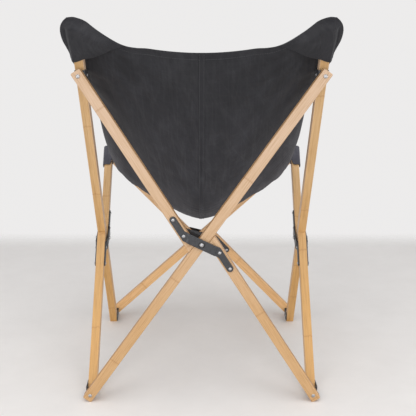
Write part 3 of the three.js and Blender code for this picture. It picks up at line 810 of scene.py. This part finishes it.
def surface_normal(u, v, side, step=1e-3):
    """Unit normal of the sling towards its back and underside, from a step each way along u and v."""
    after, before = np.clip(u + step, 0, 1), np.clip(u - step, 0, 1)
    across = sling_surface(after, v, side) - sling_surface(before, v, side)
    after, before = np.clip(v + step, 0, 1), np.clip(v - step, 0, 1)
    along = sling_surface(u, after, side) - sling_surface(u, before, side)
    return side * unit(np.cross(along, across))


# The sling is cut at this distance from the middle: outside it the ear stays round its rod, and
# inside it lie the back and the seat
CUT = 0.2425
CUT_SLACK = 1e-6
LADDER = np.linspace(0, 1, 400)


def cut_share(v):
    """u at which each row of the sling crosses the cut, found on a fine ladder of u."""
    out, _, _ = ear_frame(LADDER[None, :], np.asarray(v, float)[:, None])
    beyond = out >= CUT - CUT_SLACK
    first = np.where(beyond.any(axis=1), beyond.argmax(axis=1), len(LADDER) - 1)
    rows = np.arange(len(out))
    low = np.maximum(first - 1, 0)
    span = np.maximum(out[rows, first] - out[rows, low], 1e-9)
    part = np.clip((CUT - out[rows, low]) / span, 0, 1)
    return np.where(beyond.any(axis=1), LADDER[low] + part * (LADDER[first] - LADDER[low]), 1.0)


def gather(piece):
    """Gives the piece a mesh of its own."""
    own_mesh(piece)


def cloth_map(points):
    """Lengths along the rows and columns of a grid of points, in metres, as the cloth's flat map."""
    across = np.linalg.norm(np.diff(points, axis=1), axis=2)
    down = np.linalg.norm(np.diff(points, axis=0), axis=2)
    u = np.concatenate([np.zeros((len(points), 1)), np.cumsum(across, axis=1)], axis=1)
    v = np.concatenate([np.zeros((1, points.shape[1])), np.cumsum(down, axis=0)], axis=0)
    return np.stack([u, np.broadcast_to(v.mean(axis=1, keepdims=True), u.shape)], axis=-1)


def thicken(piece):
    """Gives a sheet its cloth thickness, half on each face."""
    modifier = piece.modifiers.new("cloth_thickness", "SOLIDIFY")
    modifier.thickness = CLOTH_THICKNESS
    modifier.offset = 0.0
    modifier.use_even_offset = False


def cloth_piece(name, points, material, body, side, out_of=1, beside=None):
    """A grid of points as one sheet of canvas with its thickness, mapped by its flat lengths. Its map
    carries on from the map of the piece beside it."""
    uv = cloth_map(points)
    if beside is not None:
        uv[..., 0] += beside[:, -1:, 0]
        uv[..., 1] = beside[:, :1, 1]
    faces = grid_faces(*points.shape[:2], flip=side * out_of > 0)
    piece = new_piece(name, points, faces, material, body, "canvas", uv * [side, 1])
    thicken(piece)
    return piece


PANEL_COLUMNS, PANEL_ROWS = 100, 190
EAR_COLUMNS = 22
EAR_SHARE = 0.9985


def build_panel(side_name):
    """Back and seat inside the cut, and the front sheet of the ear outside it."""
    side = SIDES[side_name]
    body = f"{side_name}_long"
    v = np.linspace(0, 1, PANEL_ROWS)
    share = cut_share(v)
    u = np.linspace(0, 1, PANEL_COLUMNS)[None, :] * share[:, None]
    points = sling_surface(u, v[:, None], side)
    panel = cloth_piece(f"sling_{side_name}_canvas", points, canvas, body, side)
    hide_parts(f"sling_{side_name}_panel")
    gather(panel)
    beyond = share < EAR_SHARE
    t = np.linspace(0, 1, EAR_COLUMNS)[None, :]
    u = share[beyond, None] + (1 - share[beyond, None]) * t
    cloth_piece(f"{side_name}_ear_front", sling_surface(u, v[beyond, None], side), canvas, body, side,
                beside=cloth_map(points)[beyond])


# Ear pouch: a patch behind the rod, sewn to the sling along its top and outer edge, open along its hem
PATCH_INNER = 0.70
PATCH_HEM_OUTER, PATCH_HEM_INNER = 0.0430, 0.0500
PATCH_HEM_DROP = 0.003
PATCH_LAP = 0.0018
PATCH_TENT, PATCH_ROD = 0.180, 0.247
PATCH_SEAM = 0.016
CREASE_DEPTH, CREASE_WIDTH, CREASE_SHARE = 0.0045, 0.003, 0.55
POUCH_COLUMNS, WING_COLUMNS, PATCH_ROWS = 26, 44, 48


def hem_rows():
    """u of a row of columns, and v at which each comes down to the patch's hem, on a fine ladder of v."""
    u = np.linspace(PATCH_INNER, 1, 160)
    ladder = np.linspace(0, 0.2, 400)
    _, up, _ = ear_frame(u[None, :], ladder[:, None])
    hem = PATCH_HEM_OUTER + (PATCH_HEM_INNER - PATCH_HEM_OUTER) * ramp(1 - u, 0, 0.1)
    return u, np.array([np.interp(-height, -column, ladder) for height, column in zip(hem, up.T)])


HEM_U, HEM_V = hem_rows()


def ear_patch(a, b, side):
    """a runs from the outer seam, 0, in to where the hem meets the top edge, 1; b from the top edge to
    the hem. The patch lies on the sling's back and is pushed off it to pass behind the rod, with a
    crease between the rod and the outer seam."""
    u = 1 + (PATCH_INNER - 1) * a
    v = b * (np.interp(u, HEM_U, HEM_V) + PATCH_HEM_DROP)
    u, v = np.broadcast_arrays(u, v)
    out, up, ahead = ear_frame(u, v)
    behind = ramp(out, PATCH_TENT, PATCH_ROD) * rod_cover(out, up, v) * ramp(v, 0.0, PATCH_SEAM)
    lap = PATCH_LAP * ramp(np.minimum(a * 3, v * 60), 0, 0.2)
    ahead = (ahead - lap) * (1 - behind) - EAR_ROD_COVER * behind
    seam = through(EAR_SIDE_EDGE, v)[..., 0]
    from_crease = (seam - out) - CREASE_SHARE * (seam - EAR_ROD_OUTSIDE)
    crease = np.exp(-((from_crease / CREASE_WIDTH) ** 2)) * window(v, 0.02, 0.045, 0.09, 0.12)
    return from_ear(out, up, ahead + CREASE_DEPTH * crease, side)


def build_ear_pouch(side_name):
    """The patch in two pieces that meet at the cut: the pouch behind the rod and the wing inside it."""
    side = SIDES[side_name]
    body = f"{side_name}_long"
    b = np.linspace(0, 1, PATCH_ROWS)[:, None]
    ladder = np.linspace(0, 1, 300)
    out = np.abs(ear_patch(ladder[None, :], b, side)[..., 0])
    cut = np.array([np.interp(-CUT, -row, ladder) for row in out])[:, None]
    outside = ear_patch(cut * np.linspace(0, 1, POUCH_COLUMNS)[None, :], b, side)
    pouch = cloth_piece(f"{side_name}_ear_pouch", outside, patch_canvas_painted_shade, body, side,
                        out_of=-1)
    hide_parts(f"{side_name}_ear_pocket")
    inside = ear_patch(cut + (1 - cut) * np.linspace(0, 1, WING_COLUMNS)[None, :], b, side)
    wing = cloth_piece(f"{side_name}_ear_patch", inside, patch_canvas_painted_shade, body, side,
                       out_of=-1, beside=cloth_map(outside))
    gather(wing)


# Front pouch: a short sleeve over the post's end, lower at the back and outside than at the bracket
POUCH_HALF_X, POUCH_HALF_N = 0.0135, 0.0140
POUCH_TOP, POUCH_CROWN = 0.0345, 0.006
POUCH_HEM_LOW, POUCH_HEM_HIGH = -0.026, 0.017
POUCH_SHOULDER = 0.7
POUCH_ROUNDING = 0.45
POUCH_RINGS, POUCH_STEPS = 30, 48


def front_pouch(angle, t, side):
    """angle runs round the post and t from the hem, 0, to the closed end, 1. The section is a rounded
    rectangle that draws in over the end."""
    angle, t = np.broadcast_arrays(np.asarray(angle, float), np.asarray(t, float))
    outward, rearward = np.cos(angle), np.sin(angle)
    squareness = (np.abs(outward) ** 5 + np.abs(rearward) ** 5) ** -0.2
    high = np.clip(0.5 - 0.5 * (0.75 * outward + 0.75 * rearward), 0, 1)
    hem = POUCH_HEM_LOW + (POUCH_HEM_HIGH - POUCH_HEM_LOW) * ramp(high, 0.25, 0.75)
    body = np.minimum(t / POUCH_SHOULDER, 1)
    cap = np.clip((t - POUCH_SHOULDER) / (1 - POUCH_SHOULDER), 0, 1)
    s = hem + (POUCH_TOP - POUCH_CROWN - hem) * body + POUCH_CROWN * np.sin(cap * math.pi / 2)
    scale = squareness * np.where(cap > 0, np.cos(cap * math.pi / 2) ** POUCH_ROUNDING, 1)
    x = HALF_WIDTH + outward * POUCH_HALF_X * scale
    n = rearward * POUCH_HALF_N * scale
    figure = SIDE.split_high + s[..., None] * POST_AXIS + n[..., None] * SIDE.split_side
    return beside_middle(x, figure, side)


def build_front_pouch(side_name):
    """The front pouch as one sheet, whose flat width is the way round the post."""
    side = SIDES[side_name]
    angle = np.linspace(0, 2 * math.pi, POUCH_STEPS, endpoint=False)[None, :]
    points = front_pouch(angle, np.linspace(0, 1, POUCH_RINGS)[:, None], side)
    faces = grid_faces(POUCH_RINGS, POUCH_STEPS, wrap=True, flip=side > 0)
    piece = new_piece(f"{side_name}_front_pouch", points, faces, pocket_canvas_painted_light, f"{side_name}_split",
                      "canvas", cloth_map(points))
    thicken(piece)
    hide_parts(f"{side_name}_front_pocket")


# Seam, hems and stitching lie on the sling as narrow strips
SEAM_HALF_WIDTH = 0.0065
HEM_WIDTH = 0.013
HEM_EDGE_WIDTH = 0.33
STRIP_RISE, STRIP_SUNK = 0.0009, 0.0004
STRIP_PLACES = np.array([0.0, 0.06, 0.5, 0.94, 1.0])
STITCH_LENGTH, STITCH_PITCH, STITCH_WIDTH = 0.0036, 0.0052, 0.0010
STITCH_PLACES = np.array([-0.5, -0.3, 0.3, 0.5]) * STITCH_LENGTH
STITCH_SIZES = np.array([0.3, 1.0, 1.0, 0.3]) * STITCH_WIDTH / 2
STITCH_SIDES = 6
SEAM_ROW, HEM_ROW = 0.78, 0.8
HEM_START, HEM_END, EAR_HEM_START = 0.004, 0.985, 0.03


def distances(path):
    """How far along a path each of its points is."""
    return np.concatenate([[0], np.cumsum(np.linalg.norm(np.diff(path, axis=0), axis=1))])


def strip(name, rail_a, rail_b, normal, body, uv_start, butted, lengthwise):
    """A flat folded band between two rails, raised a little off the cloth. A butted band keeps its full
    height at the first rail, where it meets the band of the other side."""
    t = STRIP_PLACES
    rise = np.array([1.0 if butted else 0.0, 1.0, 1.0, 1.0, 0.0]) * STRIP_RISE
    lower = rail_a[:, None] + (rail_b - rail_a)[:, None] * t[None, :, None]
    raised = lower + normal[:, None] * (CLOTH_THICKNESS / 2 + rise)[None, :, None]
    sunk = lower + normal[:, None] * (CLOTH_THICKNESS / 2 - STRIP_SUNK)
    points = np.concatenate([raised, sunk[:, ::-1]], axis=1)
    along = distances(rail_a)
    across = np.concatenate([t, t[::-1]]) * np.linalg.norm(rail_b - rail_a, axis=1).mean()
    uv = np.stack(np.broadcast_arrays(across[None, :], along[:, None]), axis=-1)
    uv = (uv if lengthwise else uv[..., ::-1]) + [0, uv_start]
    return closed_piece(name, points, bar_faces(*points.shape[:2]), canvas, body, "canvas", uv, smooth=False)


def along_path(values, distance, where):
    """Rows of values read between the points of a path, at distances along it."""
    return np.stack([np.interp(where, distance, column) for column in values.T], axis=1)


def stitches(path, normal, lift):
    """One row of stitches: short six-sided threads, lens-shaped along the path, at an even pitch."""
    distance = distances(path)
    spots = np.arange(STITCH_PITCH, distance[-1] - STITCH_PITCH, STITCH_PITCH)
    before, middle, after = (along_path(path, distance, spots + s * STITCH_LENGTH) for s in (-0.5, 0, 0.5))
    way = unit(after - before)
    side = unit(np.cross(unit(along_path(normal, distance, spots)), way))
    up = np.cross(way, side)
    angle = np.linspace(0, 2 * math.pi, STITCH_SIDES, endpoint=False)[:, None, None]
    ring = np.cos(angle) * side + np.sin(angle) * up
    points = middle + up * lift + STITCH_PLACES[:, None, None, None] * way
    points = points + STITCH_SIZES[:, None, None, None] * ring[None]
    rings = len(STITCH_PLACES)
    start = rings * STITCH_SIDES * np.arange(len(spots))[:, None]
    walls = grid_faces(rings, STITCH_SIDES, wrap=True)[None] + start[..., None]
    ends = [np.arange(STITCH_SIDES) + first + start for first in (0, (rings - 1) * STITCH_SIDES)]
    faces = [*walls.reshape(-1, 4).tolist(), *ends[0].tolist(), *ends[1].tolist()]
    return points.transpose(2, 0, 1, 3).reshape(-1, 3), faces


def rail(u, v, side):
    """A line on the sling and its normals there."""
    u, v = np.broadcast_arrays(np.asarray(u, float), np.asarray(v, float))
    return sling_surface(u, v, side), surface_normal(u, v, side)


def sewn_bands():
    """The bands of one side: a name, the (u, v) lines of both edges and of the stitches, whether it
    gathers, where its map starts, and whether the map runs lengthwise. Hems that cross the cut are in
    two lengths, because the cloth inside it gathers and the ear's doesn't."""
    top_cut = float(cut_share([0.0])[0])
    ladder = np.linspace(0.05, 0.35, 400)
    edge_out, _, _ = ear_frame(np.ones(400), ladder)
    side_cut = float(np.interp(-CUT - CUT_SLACK, -edge_out, ladder))
    seam = SEAM_HALF_WIDTH / SLING_HALF_WIDTH
    deep = HEM_WIDTH / SLING_LENGTH
    wide = HEM_WIDTH / HEM_EDGE_WIDTH
    along = np.linspace(0, 1, 160)
    top = np.linspace(HEM_START, top_cut, 90)
    front = np.linspace(HEM_START, 1, 90)
    edge = np.linspace(side_cut, HEM_END, 120)
    ear_top = np.linspace(top_cut, HEM_END, 30)
    ear_edge = np.linspace(EAR_HEM_START, side_cut, 40)
    top_row, front_row, edge_row = HEM_ROW * deep, 1 - HEM_ROW * deep, 1 - HEM_ROW * wide
    return [
        ("seam", (0.0, along), (seam, along), (seam * SEAM_ROW, along), True, 0.0, True),
        ("top_hem", (top, 0.0), (top, deep), (top, top_row), True, 0.0, False),
        ("front_hem", (front, 1.0), (front, 1 - deep), (front, front_row), True, 0.75, False),
        ("side_hem", (1.0, edge), (1 - wide, edge), (edge_row, edge), True, 0.15, True),
        ("ear_top_hem", (ear_top, 0.0), (ear_top, deep), (ear_top, top_row), False, 0.0, False),
        ("ear_side_hem", (1.0, ear_edge), (1 - wide, ear_edge), (edge_row, ear_edge), False, 0.0, True),
    ]


def build_sewing():
    """The felled middle seam, the hems of the top, front and side edges, and their stitch rows. The hems
    are folded to the seat's face, so the back shows only their stitches, and none at the ears."""
    bands = sewn_bands()
    for side_name, side in SIDES.items():
        body = f"{side_name}_long"
        rows = {True: [], False: []}
        for face, sign in (("back", 1), ("seat", -1)):
            for label, first, second, row, gathers, uv_start, lengthwise in bands:
                if face == "back" and not gathers:
                    continue
                lift = CLOTH_THICKNESS / 2
                if label == "seam" or face == "seat":
                    lift += STRIP_RISE
                    rail_a, normal = rail(*first, side)
                    rail_b, _ = rail(*second, side)
                    band = strip(f"sling_{side_name}_{label}_{face}", rail_a, rail_b, sign * normal, body,
                                 uv_start, label == "seam", lengthwise)
                    if gathers:
                        gather(band)
                path, normal = rail(*row, side)
                rows[gathers].append(stitches(path, sign * normal, lift))
        for gathers, label in ((True, "stitching"), (False, "ear_stitching")):
            sewn = closed_piece(f"sling_{side_name}_{label}", *joined(rows[gathers]), thread, body, "canvas")
            if gathers:
                gather(sewn)


# Stage, light and camera
PHOTO_FOCAL = 767
PHOTO_SIZE = 416
PHOTO_MIDDLE = 201.7
SENSOR = 36
CAMERA_BACK, CAMERA_HEIGHT, CAMERA_PITCH = -1.6506, 0.8609, 14.05
FLOOR_REACH, FLOOR_FADE, FLOOR_DROP = 1.18, 0.94, -0.0002
FLOOR_STEPS = 25
FLOOR_PALE = (0.850, 0.828, 0.815)
FLOOR_SHADE = (0.810, 0.788, 0.774)
BACKDROP = (0.845, 0.836, 0.833)
SKY_LIGHT = 0.52

# Area lamps as (name, place, what it looks at, size, power)
LAMPS = [
    ("key", (-1.3, -2.3, 2.1), (0, 0, 0.4), (1.8, 1.6), 8),
    ("fill", (1.6, -2.1, 1.7), (0, 0, 0.4), (1.6, 1.6), 6),
    ("low", (0, -2.6, 0.55), (0, 0, 0.4), (1.8, 0.9), 11),
    ("top", (0, -1.2, 2.6), (0, -0.4, 0), (3.6, 2.6), 38.5),
    ("left_bounce", (-1.9, -0.9, 0.25), (0, 0.2, 0.42), (1.4, 0.5), 9),
    ("right_bounce", (1.9, -0.9, 0.25), (0, 0.2, 0.42), (1.4, 0.5), 9),
]


def build_stage():
    """A square floor that fades out into the pale backdrop at its rim."""
    rim = np.linspace(-FLOOR_REACH, FLOOR_REACH, FLOOR_STEPS)
    x, y = np.meshgrid(rim, rim)
    points = np.stack([x, y, np.full_like(x, FLOOR_DROP)], axis=-1)
    mesh = bpy.data.meshes.new("studio_floor")
    mesh.from_pydata(points.reshape(-1, 3).tolist(), [], grid_faces(FLOOR_STEPS, FLOOR_STEPS).tolist())
    studio = Finish("pale_studio")
    place = studio.add("TexCoord").outputs["Object"]
    scuffs = studio.noise(place, Scale=5, Detail=9, Roughness=0.7)
    studio.give(Base_Color=studio.shade(scuffs, (0.35, FLOOR_SHADE), (0.65, FLOOR_PALE)), Roughness=0.75)
    parts = studio.split(place)
    reach = studio.maths("MAXIMUM", *(studio.maths("ABSOLUTE", parts[axis]) for axis in "XY"))
    limits = {"From Min": FLOOR_FADE, "From Max": FLOOR_REACH}
    fade = studio.add("MapRange", interpolation_type="SMOOTHSTEP", Value=reach, **limits).outputs["Result"]
    clear = studio.add("BsdfTransparent").outputs["BSDF"]
    blend = studio.add("MixShader", fade, studio.shader.outputs["BSDF"], clear)
    studio.feed(studio.tree.nodes["Material Output"].inputs["Surface"], blend.outputs["Shader"])
    mesh.materials.append(studio.material)
    add_object("studio_floor", mesh)


def add_area_light(name, location, target, size, power):
    """A lamp turned to look at its target, and not seen itself."""
    light = bpy.data.lights.new(name, "AREA")
    light.shape = "RECTANGLE"
    light.size, light.size_y = size
    light.energy = power
    lamp = add_object(name, light)
    lamp.visible_camera = False
    lamp.location = location
    lamp.rotation_euler = (Vector(target) - Vector(location)).to_track_quat("-Z", "Y").to_euler()


def build_light():
    """A white sky that shows as the pale backdrop to the camera and in gloss, and the lamps."""
    world = bpy.data.worlds.new("studio")
    world.use_nodes = True
    sky = Board(world.node_tree)
    light = sky.tree.nodes["Background"]
    sky.feed(light.inputs["Color"], (*WHITE, 1))
    sky.feed(light.inputs["Strength"], SKY_LIGHT)
    seen = sky.add("Background", Color=(*BACKDROP, 1))
    path = sky.add("LightPath").outputs
    shown = path["Is Camera Ray"]
    for ray in ("Is Glossy Ray", "Is Transmission Ray"):
        shown = sky.maths("MAXIMUM", shown, path[ray])
    choice = sky.add("MixShader", shown, light.outputs["Background"], seen.outputs["Background"])
    sky.feed(sky.tree.nodes["World Output"].inputs["Surface"], choice.outputs["Shader"])
    bpy.context.scene.world = world
    for lamp in LAMPS:
        add_area_light(*lamp)


def build_camera():
    """The camera that was fitted to the photo, straight behind the chair."""
    data = bpy.data.cameras.new("photo")
    data.sensor_width = SENSOR
    data.lens = PHOTO_FOCAL * SENSOR / PHOTO_SIZE
    data.shift_x = (PHOTO_SIZE / 2 - PHOTO_MIDDLE) / PHOTO_SIZE
    camera = add_object("photo", data)
    camera.location = (0, CAMERA_BACK + SHIFT, CAMERA_HEIGHT)
    camera.rotation_euler = (math.radians(90 - CAMERA_PITCH), 0, 0)
    bpy.context.scene.camera = camera


build_camera()
build_stage()
build_light()
bpy.context.scene.view_settings.view_transform = "Standard"

finish_rods()
finish_brackets()
for cross_name in PLANES:
    build_cross_hardware(cross_name)
build_screws()
for sling_side in SIDES:
    build_ear_pouch(sling_side)
    build_front_pouch(sling_side)
for sling_side in SIDES:
    build_panel(sling_side)
build_sewing()
